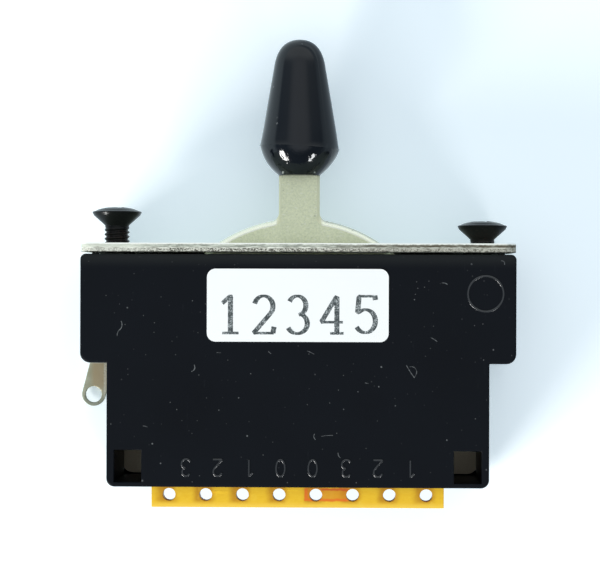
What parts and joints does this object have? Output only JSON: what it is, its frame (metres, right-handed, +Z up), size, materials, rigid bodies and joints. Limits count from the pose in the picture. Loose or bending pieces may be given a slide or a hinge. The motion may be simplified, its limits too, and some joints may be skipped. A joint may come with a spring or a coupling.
{
  "type": "lever selector switch",
  "caption": "Slim panel lever switch with a tapered tip on a flat blade, a slotted mounting plate, a black box housing and a row of solder holes on a board below.",
  "frame": {"origin": "centre of the mounting plate's top face, midway between the two mounting screws", "axes": "+Z up along the lever, out of the plate; +Y from the labelled front to the back plate; +X along the plate, to the right seen from the front"},
  "size_m": [0.0495, 0.013, 0.0524],
  "materials": {
    "plated_sheet": "dull nickel plate with faint pits",
    "tinned_tag": "dull tinned",
    "bright_steel": "turned or drawn",
    "dark_steel": "spring steel, blackened",
    "nylon": "natural, matt",
    "tip_plastic": "polished black",
    "bronze": "spring sheet, bright",
    "housing_plastic": "black, half gloss",
    "laminate": "amber, smooth",
    "copper": "tinned at the solder lands",
    "label_film": "white, plain",
    "black_steel": "black oxide"
  },
  "bodies": {
    "base": {"mounting_frame": "plated_sheet", "ground_lug": "tinned_tag", "lug_rivet": "tinned_tag", "pivot_stud": "bright_steel", "rear_washer": "nylon", "front_washer": "nylon", "retaining_clip": "dark_steel", "housing": "housing_plastic", "contact_board": "laminate", "left_tracks": "copper", "right_tracks": "copper", "label": "label_film", "left_screw": "black_steel", "right_screw": "black_steel"},
    "lever_arm": {"lever": "plated_sheet", "lever_tip": "tip_plastic", "contact_carrier": "nylon", "left_wiper": "bronze", "right_wiper": "bronze", "detent_spring": "bright_steel"},
    "ball": {"detent_ball": "bright_steel"}
  },
  "joints": [
    {"name": "lever_swing", "type": "hinge", "parent": "base", "child": "lever_arm", "pos_m": [0, 0, -0.0135], "axis": [0, 1, 0], "range_deg": [-26, 26]},
    {"name": "detent_ball", "type": "slide", "parent": "lever_arm", "child": "ball", "axis": [0, 1, 0], "range_m": [0, 0.00029], "stiffness_N_per_m": 500, "springref_m": 0.002, "deforming": ["detent_spring"]}
  ]
}
